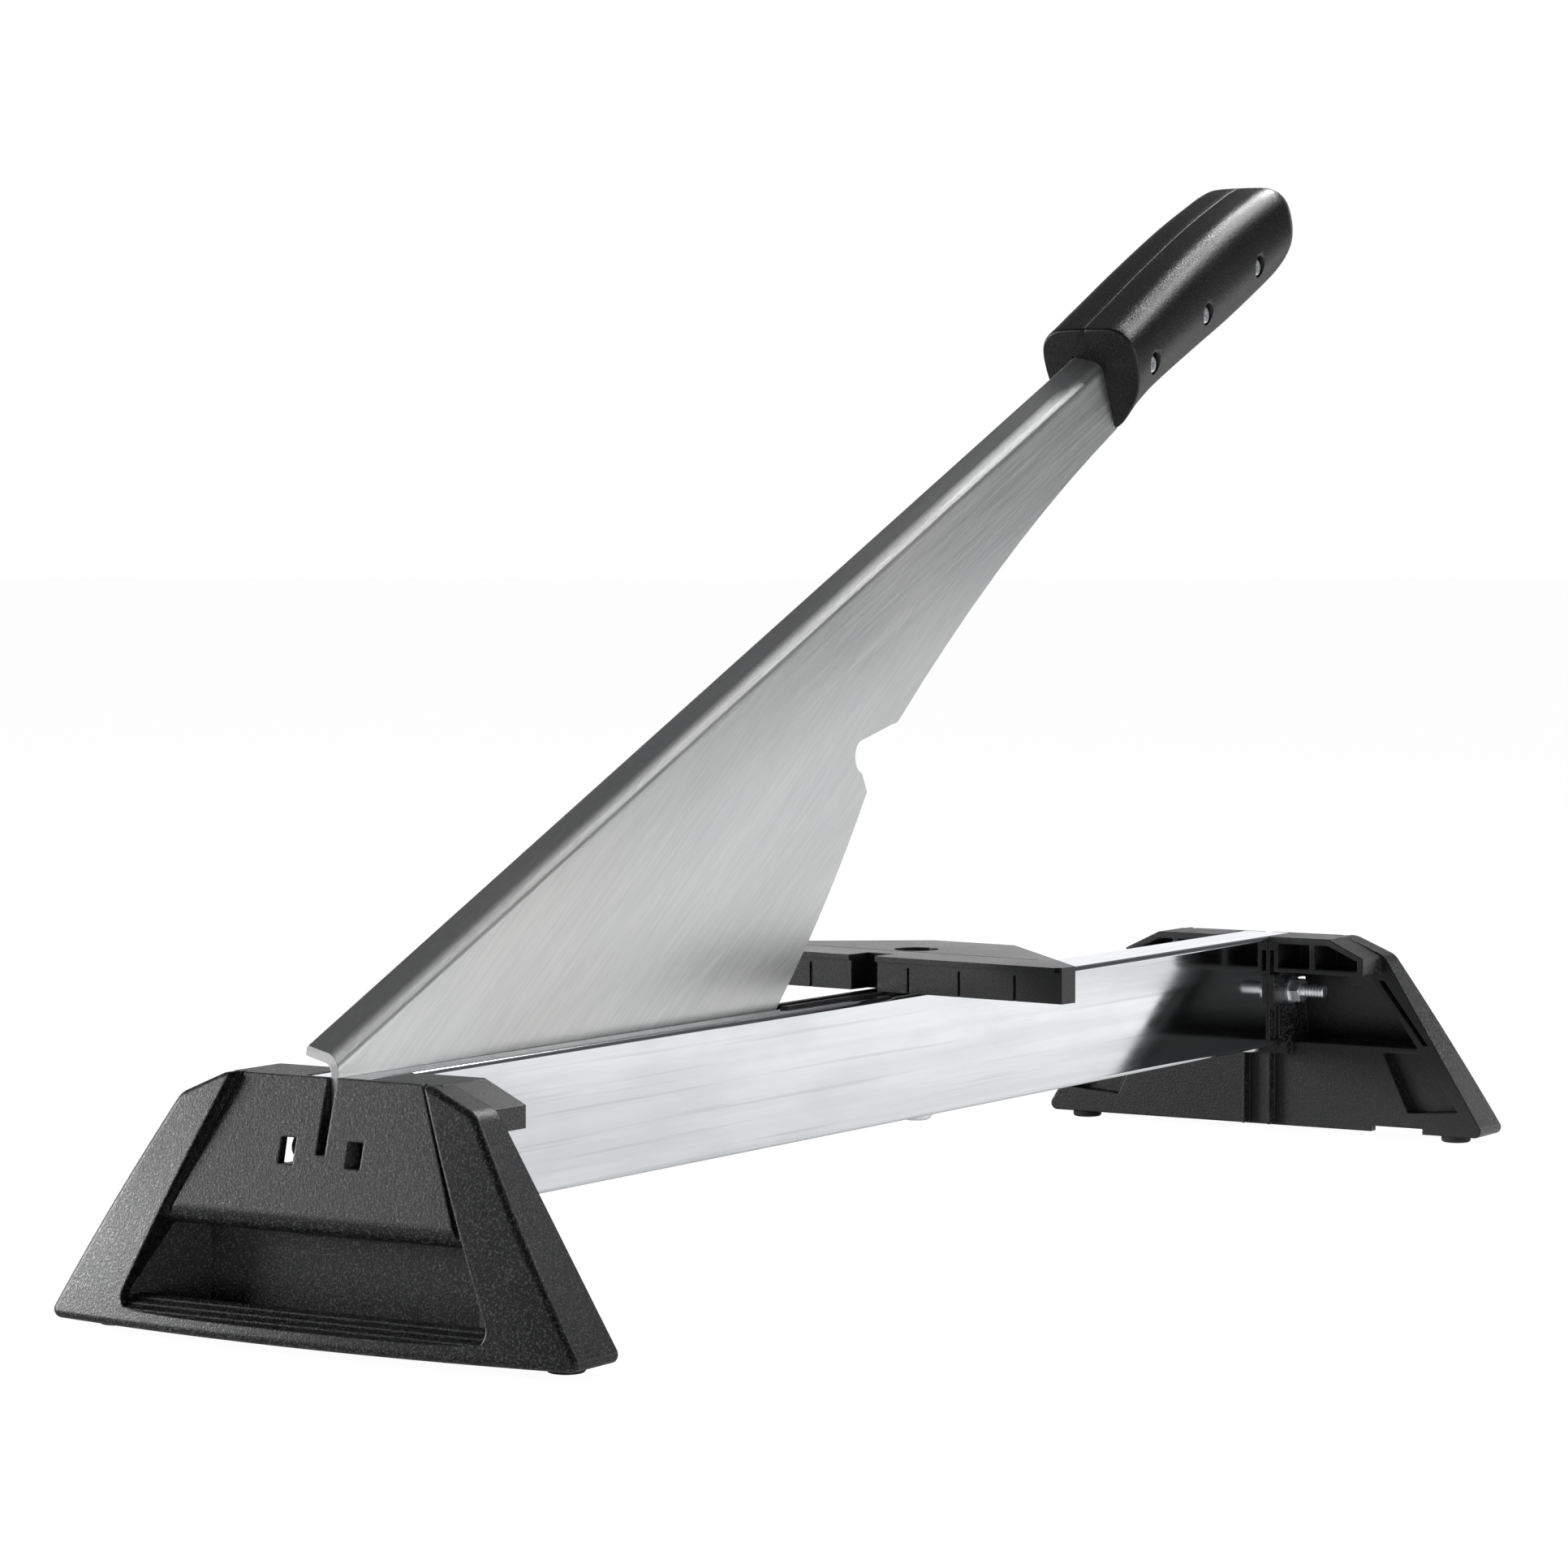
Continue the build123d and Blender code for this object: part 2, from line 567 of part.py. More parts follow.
def handle_screws():
    """Three pan-head screws from the right shell into the left one's bosses."""
    screws = []
    for station in SCREW_STATIONS:
        head = rod_y(station, SCREW_LEVEL, 3.8, -16.0, -13.5)
        head = fillet(head.edges().filter_by(GeomType.CIRCLE).sort_by(Axis.Y)[0], 1.0)
        cross = block((station - 2, station + 2), (-17, -14.7), (SCREW_LEVEL - 0.45, SCREW_LEVEL + 0.45))
        cross += block((station - 0.45, station + 0.45), (-17, -14.7), (SCREW_LEVEL - 2, SCREW_LEVEL + 2))
        screw = head - cross + rod_y(station, SCREW_LEVEL, 2.0, -13.5, 14)
        screws.append(along_arm(screw))
    return screws


# ---- fence --------------------------------------------------------------

def on_fence(shape):
    """Place a shape laid out from the fence's swivel bolt."""
    return Pos(FENCE_PIVOT, 0, 0) * Rot(0, 0, FENCE_ANGLE) * shape


def fence_outline(front):
    return [(front, -FENCE_HALF), (FENCE_FRONT + FENCE_END, -FENCE_HALF),
            (FENCE_REAR, -FENCE_REAR_HALF), (FENCE_REAR, FENCE_REAR_HALF),
            (FENCE_FRONT + FENCE_END, FENCE_HALF), (front, FENCE_HALF)]


def fence_hollow():
    """The underside's cavity, less the walls, ribs and the bolt's boss."""
    face = make_face(Polyline(*fence_outline(FENCE_FRONT + FENCE_LIP), close=True))
    face = offset(face, -FENCE_WALL, kind=Kind.INTERSECTION)
    hollow = extrude(Plane.XY.offset(FENCE_BASE - 1) * face, FENCE_TOP - FENCE_WALL - FENCE_BASE + 1)
    hollow -= rod_z(0, 0, FENCE_BORE + 3.5, 0, 200)
    gap_back = FENCE_FRONT + FENCE_GAP_DEPTH + FENCE_WALL
    half = FENCE_GAP / 2 + FENCE_WALL
    hollow -= block((FENCE_FRONT, gap_back), (-half, half), (0, 200))
    for level in (-60.0, -30.0, 30.0, 60.0):
        hollow -= block((-60, 60), (level - 1.1, level + 1.1), (0, 200))
    return hollow


def mitre_fence():
    body = prism_xy(fence_outline(FENCE_FRONT + FENCE_LIP), FENCE_BASE, FENCE_TOP)
    for sign in (-1, 1):
        span = sorted((sign * FENCE_GAP / 2, sign * (FENCE_HALF - 2.4)))
        body += block((FENCE_FRONT, FENCE_FRONT + FENCE_LIP + 1), span, (FENCE_TOP - 2.2, FENCE_TOP))
    body = body - fence_hollow()
    half = FENCE_GAP / 2
    body -= block((FENCE_FRONT - 1, FENCE_FRONT + FENCE_GAP_DEPTH), (-half, half), (0, 200))
    body -= rod_z(0, 0, FENCE_BORE, FENCE_BORE_FLOOR, 200)
    body -= rod_z(0, 0, M6_RADIUS + 0.06, 0, 200)
    body -= block((-11.3, -10.1), (-66.3, 66.3), (FENCE_TOP - 1.2, FENCE_TOP + 1))
    recess = FENCE_FRONT + FENCE_LIP
    for place in FENCE_MARKS:
        body -= block((recess - 1, recess + 1.0), (place - 0.6, place + 0.6), (FENCE_BASE - 1, 101.0))
    return on_fence(body)


def guide_insert():
    """Thin plastic guide on the rail's top, slotted for the blade, keyed in the slot."""
    start = NEAR_END + 276.0
    end = NEAR_END + 400.0
    plate = block((start, end), (-4.2, 4.2), (RAIL_TOP, FENCE_BASE))
    plate = chamfer(plate.edges().filter_by(Axis.Z).sort_by(Axis.X)[:2], 2.5)
    plate += rod_z(FENCE_PIVOT, 0, 12.0, RAIL_TOP, FENCE_BASE)
    half = SLOT_WIDTH / 2
    plate += block((NEAR_END + 362.0, TOP_SLOT_END), (-half, half), (RAIL_TOP - 6, RAIL_TOP))
    plate -= block((start - 1, NEAR_END + 361.0), (-2.1, 2.1), (RAIL_TOP - 1, FENCE_BASE + 1))
    return plate - rod_z(FENCE_PIVOT, 0, M6_CLEARANCE, 0, 200)


def fence_bolt():
    """M6 mushroom-head bolt up through the rail; the fence turns on its shank."""
    head_height = 3.3
    head = rod_z(0, 0, 6.6, -head_height, 0)
    head = fillet(head.edges().filter_by(GeomType.CIRCLE).sort_by(Axis.Z)[0], 2.9)
    bolt = head + threaded_rod(63.5, 12.0)
    return Pos(FENCE_PIVOT, 0, RAIL_BOTTOM) * bolt


def fence_washer():
    low = FENCE_BORE_FLOOR + 0.1
    ring = rod_z(FENCE_PIVOT, 0, WASHER_RADIUS, low, low + 1.2)
    return ring - rod_z(FENCE_PIVOT, 0, M6_RADIUS + 0.06, 0, 200)


def fence_nut():
    nut = hexagon(M6_ACROSS_FLATS, M6_NUT)
    nut = Pos(FENCE_PIVOT, 0, FENCE_BORE_FLOOR + 1.3) * nut
    return nut - rod_z(FENCE_PIVOT, 0, M6_RADIUS, 0, 200)


# ---- write the parts ----------------------------------------------------

def pieces():
    """Every named piece with its solids."""
    right_shell, left_shell = handle_shells()
    far_bolt = Pos(FAR_END - CROSS_BOLT_INSET, 0, RAIL_MIDDLE)
    near_bolt = Pos(PIVOT[0], 0, PIVOT[1])
    one_foot = foot()
    return {
        "rail_tube": [rail_tube()],
        "near_foot": [at_near_end(one_foot)],
        "far_foot": [at_far_end(one_foot)],
        "near_foot_pads": [at_near_end(pad) for pad in foot_pads()],
        "far_foot_pads": [at_far_end(pad) for pad in foot_pads()],
        "foot_stop_screws": stop_screws(),
        "far_cross_bolt": [far_bolt * cross_bolt()],
        "far_bolt_washers": [far_bolt * ring for ring in cross_washers()],
        "far_bolt_nut": [far_bolt * cross_nut()],
        "pivot_bolt": [near_bolt * cross_bolt()],
        "pivot_washers": [near_bolt * ring for ring in cross_washers()],
        "pivot_nut": [near_bolt * cross_nut()],
        "pivot_spacers": pivot_spacers(),
        "pivot_bush": [pivot_bush()],
        "blade_arm": [blade_arm()],
        "handle_right_shell": [right_shell],
        "handle_left_shell": [left_shell],
        "handle_screws": handle_screws(),
        "guide_insert": [guide_insert()],
        "mitre_fence": [mitre_fence()],
        "fence_bolt": [fence_bolt()],
        "fence_washer": [fence_washer()],
        "fence_nut": [fence_nut()],
    }


def as_solids(shapes):
    """Flat list of the plain solids in a list of shapes."""
    return [solid for shape in shapes for solid in shape.solids()]


os.makedirs("parts", exist_ok=True)
for name, shapes in pieces().items():
    solids = as_solids(shapes)
    export_step(Compound(children=solids) if len(solids) > 1 else solids[0], f"parts/{name}.step")
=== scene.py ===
"""Looks for the guillotine tile cutter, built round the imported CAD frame. Metres, +Z up.

The rail runs along X with the near foot at -X, and the blade arm swings in the plane Y = 0.
"""
import json
import math

import bmesh
import bpy
from mathutils import Matrix, Vector


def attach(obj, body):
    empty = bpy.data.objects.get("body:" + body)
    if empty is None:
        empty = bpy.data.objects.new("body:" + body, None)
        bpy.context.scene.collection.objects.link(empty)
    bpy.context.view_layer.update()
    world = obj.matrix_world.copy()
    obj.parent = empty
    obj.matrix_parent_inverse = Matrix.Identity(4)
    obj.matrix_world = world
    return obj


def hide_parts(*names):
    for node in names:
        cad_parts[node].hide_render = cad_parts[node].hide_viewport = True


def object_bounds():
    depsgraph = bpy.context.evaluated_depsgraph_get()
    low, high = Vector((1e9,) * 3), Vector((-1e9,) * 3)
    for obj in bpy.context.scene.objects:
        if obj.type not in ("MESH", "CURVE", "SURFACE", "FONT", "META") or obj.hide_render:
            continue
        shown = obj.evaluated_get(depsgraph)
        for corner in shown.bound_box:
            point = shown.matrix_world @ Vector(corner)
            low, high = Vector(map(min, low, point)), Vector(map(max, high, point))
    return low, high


MM = 0.001
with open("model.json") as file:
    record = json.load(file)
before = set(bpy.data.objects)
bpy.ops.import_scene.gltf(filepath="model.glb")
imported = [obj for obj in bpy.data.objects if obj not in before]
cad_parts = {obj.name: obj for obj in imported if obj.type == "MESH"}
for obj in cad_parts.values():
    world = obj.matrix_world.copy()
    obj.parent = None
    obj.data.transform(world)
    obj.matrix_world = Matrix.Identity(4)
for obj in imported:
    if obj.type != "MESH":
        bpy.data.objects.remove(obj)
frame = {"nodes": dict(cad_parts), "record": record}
cad_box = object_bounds()
nodes = frame["nodes"]
SLOT_OF = {name: obj.data.materials[0].name for name, obj in nodes.items()}
BODY_OF = {name: body for body, names in frame["record"]["behaviour"]["bodies"].items() for name in names}
for packed in list(bpy.data.materials):
    bpy.data.materials.remove(packed)

# ---- the arm's own axes, as the CAD has them at rest -----------------------
# A station is a distance along the arm's back from its near end, and a level is a height at right
# angles to the back. Both are in millimetres.

ARM_ANGLE = math.radians(24.6)
ARM_START = Vector((-0.3516, 0.0, 0.0982))
ARM_TURN = Matrix.Translation(ARM_START) @ Matrix.Rotation(-ARM_ANGLE, 4, "Y")
ARM_AHEAD = Vector((math.cos(ARM_ANGLE), 0.0, math.sin(ARM_ANGLE)))
BACK_HEIGHT = ARM_START.z * math.cos(ARM_ANGLE) - ARM_START.x * math.sin(ARM_ANGLE)


def on_arm(station, across, level):
    """The place in the frame of a point given along, across and up the arm."""
    return ARM_TURN @ (Vector((station, across, level)) * MM)


# ---- materials ------------------------------------------------------------

# A Mix node has sockets of the same name for each kind of data. These are its colour ones.
MIX_FIRST, MIX_SECOND, MIX_RESULT = 6, 7, 2
BEVEL_SAMPLES = 6


class Finish:
    """One Principled material, the texture nodes that feed it, and how far its edges are softened."""

    def __init__(self, name, metallic=0.0, roughness=0.5, edge=0.0):
        self.material = bpy.data.materials.new(name)
        self.material.use_nodes = True
        self.tree = self.material.node_tree
        self.shader = self.tree.nodes["Principled BSDF"]
        self.shader.inputs["Metallic"].default_value = metallic
        self.shader.inputs["Roughness"].default_value = roughness
        self.place = self.add("ShaderNodeTexCoord").outputs["Object"]
        self.normal = None
        if edge:
            softened = self.add("ShaderNodeBevel", Radius=edge)
            softened.samples = BEVEL_SAMPLES
            self.normal = softened.outputs["Normal"]

    def add(self, kind, **inputs):
        node = self.tree.nodes.new(kind)
        for key, value in inputs.items():
            node.inputs[key.replace("_", " ")].default_value = value
        return node

    def link(self, output, target):
        self.tree.links.new(output, target)

    def coordinates(self, stretch=(1.0, 1.0, 1.0), turn=(0.0, 0.0, 0.0)):
        """Object coordinates turned first, then squeezed along the turned axes."""
        turned = self.add("ShaderNodeMapping", Rotation=turn)
        self.link(self.place, turned.inputs["Vector"])
        squeezed = self.add("ShaderNodeMapping", Scale=stretch)
        self.link(turned.outputs["Vector"], squeezed.inputs["Vector"])
        return squeezed.outputs["Vector"]

    def noise(self, scale, detail=2.0, rough=0.5, stretch=(1.0, 1.0, 1.0), turn=(0.0, 0.0, 0.0)):
        node = self.add("ShaderNodeTexNoise", Scale=scale, Detail=detail, Roughness=rough)
        self.link(self.coordinates(stretch, turn), node.inputs["Vector"])
        return node.outputs["Fac"]

    def axis(self, vector, name):
        """One coordinate of a vector: X, Y or Z."""
        split = self.add("ShaderNodeSeparateXYZ")
        self.link(vector, split.inputs["Vector"])
        return split.outputs[name]

    def spread(self, source, low, high, to_low=0.0, to_high=1.0):
        """Maps low..high in source to to_low..to_high, clamped."""
        node = self.add("ShaderNodeMapRange")
        for key, value in (("From Min", low), ("From Max", high), ("To Min", to_low), ("To Max", to_high)):
            node.inputs[key].default_value = value
        self.link(source, node.inputs["Value"])
        return node.outputs["Result"]

    def combine(self, operation, one, other):
        """A Math node on two sockets or numbers."""
        node = self.add("ShaderNodeMath")
        node.operation = operation
        for socket, value in zip(node.inputs, (one, other)):
            if isinstance(value, (int, float)):
                socket.default_value = value
            else:
                self.link(value, socket)
        return node.outputs["Value"]

    def tint(self, factor, first, second):
        """Mixes two colours by factor into the base colour; the first one may be a socket."""
        mix = self.add("ShaderNodeMix")
        mix.data_type = "RGBA"
        self.link(factor, mix.inputs["Factor"])
        for socket, value in ((mix.inputs[MIX_FIRST], first), (mix.inputs[MIX_SECOND], second)):
            if isinstance(value, tuple):
                socket.default_value = (*value, 1.0)
            else:
                self.link(value, socket)
        self.link(mix.outputs[MIX_RESULT], self.shader.inputs["Base Color"])
        return mix.outputs[MIX_RESULT]

    def roughen(self, source):
        self.link(source, self.shader.inputs["Roughness"])

    def bump(self, height, distance):
        """Adds relief of that depth in metres on top of what is there."""
        node = self.add("ShaderNodeBump", Strength=1.0, Distance=distance)
        self.link(height, node.inputs["Height"])
        if self.normal is not None:
            self.link(self.normal, node.inputs["Normal"])
        self.normal = node.outputs["Normal"]
        self.link(self.normal, self.shader.inputs["Normal"])

    def brushed_along(self, direction, amount):
        """Anisotropic gloss whose grain runs along a direction of the piece."""
        turn = self.add("ShaderNodeVectorTransform")
        turn.vector_type = "VECTOR"
        turn.convert_from = "OBJECT"
        turn.convert_to = "WORLD"
        turn.inputs["Vector"].default_value = direction
        self.link(turn.outputs["Vector"], self.shader.inputs["Tangent"])
        self.shader.inputs["Anisotropic"].default_value = amount


def moulded_plastic(name, dark, light, roughness, grain, depth, specks=0.52, edge=0.5 * MM, inner=False):
    """Spark-eroded moulding texture: a grain that sparkles, pale specks and faint larger mottling.

    A speck shows where the grain's noise is above specks. Faces that look towards the middle of the cutter
    can be given almost none. That makes them smoother, and the darkness it gives them is painted shade on the
    inward faces.
    """
    speck_ramp = 0.12
    finish = Finish(name, roughness=roughness, edge=edge)
    fine = finish.noise(grain, detail=3.0, rough=0.8)
    coarse = finish.noise(grain * 0.6, detail=1.0)
    patch = finish.noise(16.0, detail=3.0)
    speck = finish.spread(fine, specks, specks + speck_ramp)
    # Painted shade: faces that look towards the middle of the cutter lose their pale specks, so they come out
    # darker.
    if inner:
        shape = finish.add("ShaderNodeNewGeometry")
        outward = finish.combine("MULTIPLY", finish.axis(shape.outputs["True Normal"], "X"),
                                 finish.axis(finish.place, "X"))
        speck = finish.combine("MULTIPLY", speck, finish.spread(outward, -0.10, -0.01, 0.10, 1.0))
    finish.tint(speck, dark, light)
    finish.roughen(finish.combine("ADD", finish.spread(speck, 0.0, 1.0, 0.04, -0.12),
                                  finish.spread(patch, 0.3, 0.7, roughness - 0.03, roughness + 0.04)))
    finish.bump(coarse, depth * 0.5)
    finish.bump(fine, depth)
    return finish.material


def rail_steel():
    """Bright galvanised tube: soft streaks along its length, cloudy spangle and a few rubbed lines."""
    bright = (0.90, 0.915, 0.935)
    streaked = (0.80, 0.82, 0.845)
    spangle = (0.72, 0.745, 0.775)
    rubbed = (0.60, 0.625, 0.66)
    finish = Finish("rail_steel", metallic=1.0, edge=0.15 * MM)
    streaks = finish.noise(150.0, detail=5.0, rough=0.6, stretch=(0.03, 1.0, 1.0))
    broad = finish.noise(26.0, detail=3.0, stretch=(0.22, 1.0, 1.0))
    cloud = finish.noise(34.0, detail=4.0, stretch=(0.35, 1.0, 1.0))
    lines = finish.noise(420.0, detail=2.0, stretch=(0.014, 1.0, 1.0))
    tone = finish.tint(finish.spread(streaks, 0.38, 0.66), bright, streaked)
    tone = finish.tint(finish.spread(cloud, 0.5, 0.7, 0.0, 0.6), tone, spangle)
    finish.tint(finish.spread(lines, 0.60, 0.70, 0.0, 0.45), tone, rubbed)
    finish.roughen(finish.combine("ADD", finish.spread(streaks, 0.3, 0.7, 0.05, 0.10),
                                  finish.spread(cloud, 0.4, 0.7, 0.0, 0.05)))
    finish.bump(broad, 0.07 * MM)
    finish.bump(streaks, 0.008 * MM)
    return finish.material


def blade_steel():
    """Satin sheet: rolling grain along the arm, brushing at a slant to it, soft clouds, handling lines."""
    satin = (0.70, 0.71, 0.705)
    banded = (0.64, 0.65, 0.655)
    clouded = (0.74, 0.735, 0.70)
    scratched = (0.9, 0.9, 0.9)
    brushed = (0.44, 0.445, 0.45)
    slant = 0.2
    turn = (0.0, ARM_ANGLE, 0.0)
    brush_turn = (0.0, ARM_ANGLE + slant, 0.0)
    finish = Finish("blade_steel", metallic=1.0, edge=0.25 * MM)
    grain = finish.noise(1500.0, detail=2.0, stretch=(0.012, 1.0, 1.0), turn=turn)
    brush = finish.noise(1000.0, detail=3.0, rough=0.7, stretch=(0.035, 1.0, 1.0), turn=brush_turn)
    bands = finish.noise(55.0, detail=3.0, stretch=(0.05, 1.0, 1.0), turn=turn)
    cloud = finish.noise(8.0, detail=2.0, stretch=(0.6, 1.0, 1.0), turn=turn)
    lines = finish.noise(260.0, detail=1.0, stretch=(0.01, 1.0, 1.0), turn=turn)
    tone = finish.tint(finish.spread(bands, 0.35, 0.7), satin, banded)
    tone = finish.tint(finish.spread(cloud, 0.4, 0.7, 0.0, 0.5), tone, clouded)
    tone = finish.tint(finish.spread(lines, 0.70, 0.76, 0.0, 0.2), tone, scratched)
    finish.tint(finish.spread(brush, 0.35, 0.65, 0.0, 0.30), tone, brushed)
    # The bend at the back is duller than the sheet, except along its very top.
    height = finish.axis(finish.coordinates(turn=turn), "Z")
    duller = finish.spread(height, BACK_HEIGHT - 4.5 * MM, BACK_HEIGHT - 1.8 * MM, 0.0, 0.26)
    brighter = finish.spread(height, BACK_HEIGHT - 0.5 * MM, BACK_HEIGHT - 0.1 * MM, 0.0, 0.18)
    gloss = finish.combine("ADD", finish.spread(grain, 0.3, 0.7, 0.29, 0.36),
                           finish.spread(cloud, 0.3, 0.7, 0.0, 0.05))
    finish.roughen(finish.combine("ADD", gloss, finish.combine("SUBTRACT", duller, brighter)))
    # Folding the back left the sheet slightly dished just below it.
    near = finish.spread(height, BACK_HEIGHT - 48.0 * MM, BACK_HEIGHT - 3.0 * MM)
    finish.bump(finish.combine("SUBTRACT", 1.0, finish.combine("MULTIPLY", near, near)), 2.2 * MM)
    finish.bump(grain, 0.008 * MM)
    finish.bump(bands, 0.012 * MM)
    finish.brushed_along(ARM_AHEAD, 0.6)
    return finish.material


def mottled(name, scale, detail, tones, gloss, depth, grain=None, **options):
    """A plain finish whose colour and gloss wander together, with relief from that or a finer grain."""
    finish = Finish(name, **options)
    patches = finish.noise(scale, detail=detail)
    finish.tint(finish.spread(patches, 0.35, 0.7), *tones)
    finish.roughen(finish.spread(patches, 0.3, 0.7, *gloss))
    finish.bump(finish.noise(grain) if grain else patches, depth)
    return finish.material


FINISHES = {
    "rail_steel": rail_steel(),
    "blade_steel": blade_steel(),
    "foot_plastic": moulded_plastic(
        "foot_plastic", (0.004, 0.0043, 0.0049), (0.19, 0.194, 0.202), 0.32, grain=1250.0, depth=0.10 * MM,
        specks=0.525, edge=1.0 * MM, inner=True),
    "handle_plastic": moulded_plastic(
        "handle_plastic", (0.003, 0.003, 0.003), (0.04, 0.04, 0.04), 0.30, grain=1100.0, depth=0.12 * MM,
        specks=0.54),
    "fence_plastic": moulded_plastic(
        "fence_plastic", (0.008, 0.0082, 0.0088), (0.03, 0.031, 0.033), 0.25, grain=2000.0, depth=0.02 * MM,
        edge=0.25 * MM),
    "guide_plastic": moulded_plastic(
        "guide_plastic", (0.006, 0.006, 0.007), (0.02, 0.02, 0.021), 0.30, grain=2000.0, depth=0.02 * MM,
        edge=0.25 * MM),
    "pad_rubber": mottled(
        "pad_rubber", 900.0, 4.0, ((0.012, 0.012, 0.013), (0.022, 0.022, 0.022)), (0.7, 0.9), 0.04 * MM),
    "fastener_zinc": mottled(
        "fastener_zinc", 420.0, 4.0, ((0.94, 0.95, 0.96), (0.80, 0.82, 0.85)), (0.28, 0.44), 0.02 * MM,
        grain=2500.0, metallic=1.0, edge=0.2 * MM),
    "spacer_nylon": mottled(
        "spacer_nylon", 300.0, 3.0, ((0.62, 0.60, 0.54), (0.7, 0.68, 0.62)), (0.38, 0.5), 0.03 * MM),
    "bush_bronze": mottled(
        "bush_bronze", 700.0, 4.0, ((0.55, 0.36, 0.16), (0.42, 0.27, 0.12)), (0.25, 0.4), 0.03 * MM,
        metallic=1.0),
}


def dress(obj, slot):
    obj.data.materials.clear()
    obj.data.materials.append(FINISHES[slot])


for name, obj in nodes.items():
    dress(obj, SLOT_OF[name])


# ---- pieces ---------------------------------------------------------------

def put(name, data):
    """A new object in the scene."""
    obj = bpy.data.objects.new(name, data)
    bpy.context.scene.collection.objects.link(obj)
    return obj


def stand_in(obj, name):
    """Enters a finished mesh object as the piece that stands for a CAD node."""
    dress(obj, SLOT_OF[name])
    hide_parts(name)
    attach(obj, BODY_OF[name])


def skin(made, rows):
    """Joins closed rings of vertices with quads, caps both ends and turns the faces outwards."""
    for near, far in zip(rows, rows[1:]):
        for index in range(len(near)):
            after = (index + 1) % len(near)
            made.faces.new((near[index], near[after], far[after], far[index]))
    made.faces.new(rows[0])
    made.faces.new(rows[-1])
    bmesh.ops.recalc_face_normals(made, faces=made.faces)


def new_object(name, made):
    """A smooth-shaded object from a bmesh."""
    mesh = bpy.data.meshes.new(name)
    made.to_mesh(mesh)
    made.free()
    mesh.shade_smooth()
    return put(name, mesh)


# ---- handle shells ---------------------------------------------------------
# Each shell is a loft along the arm. All sizes are in millimetres.

SEAM = 3.9
MOUTH = 590.0
MOUTH_ROUND = 1.1
MOUTH_STEPS = 4
HANDLE_END = 767.0
END_ROUND = 18.0
END_STEPS = 12
END_TURN = 84.0
STRAIGHT_STEPS = 40
# Half of the grip's section as (out, up), from the top of the seam to its bottom.
HALF_SECTION = (
    (0.0, 14.3), (8.0, 14.2), (13.5, 13.7), (17.6, 11.8), (20.6, 8.2), (22.0, 3.5), (22.2, -3.0),
    (21.6, -9.0), (19.9, -15.0), (16.8, -20.5), (13.0, -25.3), (9.0, -29.4), (4.8, -31.8), (0.0, -32.3))
HALF_WIDTH = 22.2
HALF_HEIGHT = 23.0
MIDDLE_LEVEL = -6.0
SECTION_STEPS = 44
# The small lip along the seam, as (out, in from the edge).
SEAM_LIP = ((0.06, 1.2), (0.06, 0.42), (0.16, 0.12), (0.42, 0.0))
# Levels of the grip's top and underside at stations along the arm.
CROWN_LINE = (
    (590.0, 14.3), (610.0, 15.3), (650.0, 17.2), (700.0, 18.2), (740.0, 16.8), (755.0, 14.9), (775.0, 12.4))
KEEL_LINE = (
    (590.0, -32.3), (600.0, -29.8), (620.0, -28.0), (660.0, -28.4), (700.0, -29.4), (740.0, -29.0),
    (757.0, -28.2), (775.0, -27.0))
SCREW_STATIONS = (607.3, 661.8, 716.8)
SCREW_LEVEL = -9.2
# A screw recess as (radius, place across the arm), from its floor out through its softened rim.
RECESS = ((4.6, -13.4), (4.75, -16.6), (4.85, -17.4), (5.3, -17.95), (6.4, -18.6), (9.0, -19.6))
RECESS_SIDES = 40
SHARP_EDGE = math.radians(35.0)


def through(points, place):
    """The smooth curve through points at a place counted in points along the list."""
    last = len(points) - 1
    index = min(int(place), last - 1)
    share = place - index
    a, b, c, d = (Vector(points[min(max(index + step, 0), last)]) for step in (-1, 0, 1, 2))
    return 0.5 * (2 * b + (c - a) * share + (2 * a - 5 * b + 4 * c - d) * share ** 2
                  + (3 * b - a - 3 * c + d) * share ** 3)


def level_at(line, station):
    """The height of a line of (station, height) points at a station, smoothed."""
    for index in range(len(line) - 1):
        low, high = line[index][0], line[index + 1][0]
        if station <= high:
            return through(line, index + (station - low) / (high - low)).y
    return line[-1][1]


def half_ring(station, inset):
    """Half of the grip's outline at a station, from the seam's top round to its bottom."""
    crown = level_at(CROWN_LINE, station) / HALF_SECTION[0][1]
    keel = level_at(KEEL_LINE, station) / HALF_SECTION[-1][1]
    spans = len(HALF_SECTION) - 1
    outline = [through(HALF_SECTION, spans * step / SECTION_STEPS) for step in range(SECTION_STEPS + 1)]
    outline = [Vector((point.x, point.y * (crown if point.y > 0 else keel))) for point in outline]
    top, low = outline[0].y, outline[-1].y
    ring = [Vector((out, top - down)) for out, down in SEAM_LIP]
    ring += outline[2:-2]
    ring += [Vector((out, low + down)) for out, down in reversed(SEAM_LIP)]
    across = 1.0 - inset / HALF_WIDTH
    upward = 1.0 - inset / HALF_HEIGHT
    return [Vector((point.x * across, MIDDLE_LEVEL + (point.y - MIDDLE_LEVEL) * upward)) for point in ring]


